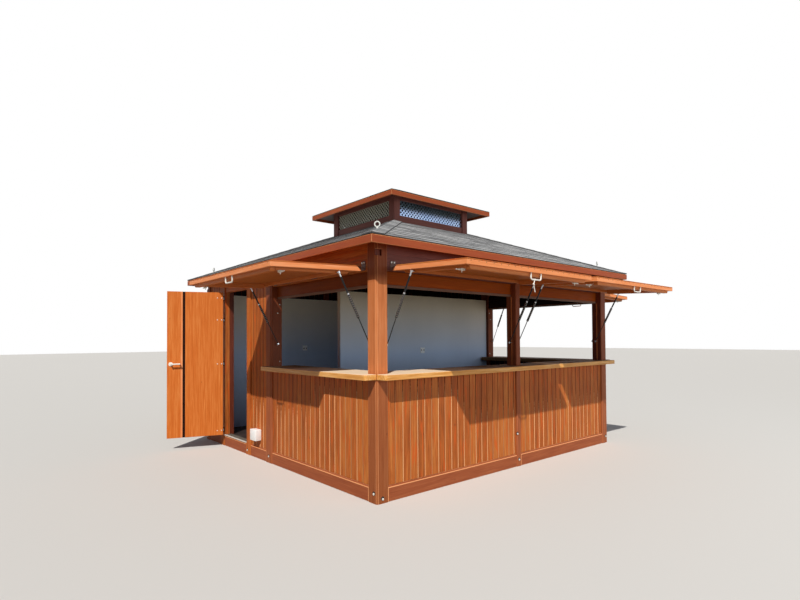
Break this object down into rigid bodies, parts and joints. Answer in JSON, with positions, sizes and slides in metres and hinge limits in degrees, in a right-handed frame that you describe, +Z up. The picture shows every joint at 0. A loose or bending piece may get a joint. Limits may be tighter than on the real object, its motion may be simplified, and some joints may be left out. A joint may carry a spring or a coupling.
{
  "type": "wooden market hut",
  "caption": "Square timber kiosk with open serving flaps on gas struts, counters, a side door, a low hip roof and a lattice lantern.",
  "frame": {"origin": "centre of the square footprint, on the ground under the sill beams", "axes": "+Z up, -Y out of the front wall with two flaps, -X out of the wall with the door"},
  "size_m": [5.8596, 5.1356, 3.5429],
  "materials": {
    "stained_timber": "red-brown stained softwood, satin",
    "bright_timber": "orange-brown stained softwood, satin",
    "floor_timber": "dark brown stained boards",
    "counter_timber": "golden varnished timber",
    "white_board": "white painted board",
    "white_plastic": "moulded, satin",
    "shingle": "mineral-faced asphalt shingles on boards, matt grey",
    "lattice_white": "pale lattice",
    "black_steel": "black",
    "bright_steel": "brushed",
    "zinc_steel": "zinc plated",
    "alloy": "mill finish",
    "galvanised": "pale galvanised"
  },
  "bodies": {
    "hut": {"sills": "stained_timber", "corner_posts": "stained_timber", "middle_posts": "stained_timber", "door_jambs": "stained_timber", "front_wall": "stained_timber", "left_wall": "stained_timber", "right_wall": "stained_timber", "back_wall": "stained_timber", "headers": "stained_timber", "lantern_frame": "stained_timber", "fascia": "stained_timber", "lantern_fascia": "stained_timber", "flap_front_left": "bright_timber", "flap_front_right": "bright_timber", "flap_left": "bright_timber", "flap_right": "bright_timber", "floor_joists": "floor_timber", "floor_deck": "floor_timber", "counter_front": "counter_timber", "counter_left": "counter_timber", "counter_right": "counter_timber", "partition": "white_board", "back_lining": "white_board", "socket_boxes": "white_plastic", "roof_front": "shingle", "roof_left": "shingle", "roof_right": "shingle", "roof_back": "shingle", "hip_caps": "shingle", "lantern_roof": "shingle", "lattice_front": "lattice_white", "lattice_left": "lattice_white", "lattice_right": "lattice_white", "lattice_back": "lattice_white", "strut_cylinders": "black_steel", "flap_hinges": "black_steel", "strut_rods": "bright_steel", "flap_handles": "bright_steel", "flap_latches": "bright_steel", "door_hinge_pins": "zinc_steel", "threshold": "alloy", "lifting_eyes": "galvanised"},
    "door": {"door_leaf": "bright_timber", "door_straps": "zinc_steel", "door_lever": "bright_steel"}
  },
  "joints": [
    {"name": "door_hinge", "type": "hinge", "parent": "hut", "child": "door", "pos_m": [-2.01, 1.34, 1.1], "axis": [0, 0, 1], "range_deg": [-45, 109]}
  ]
}
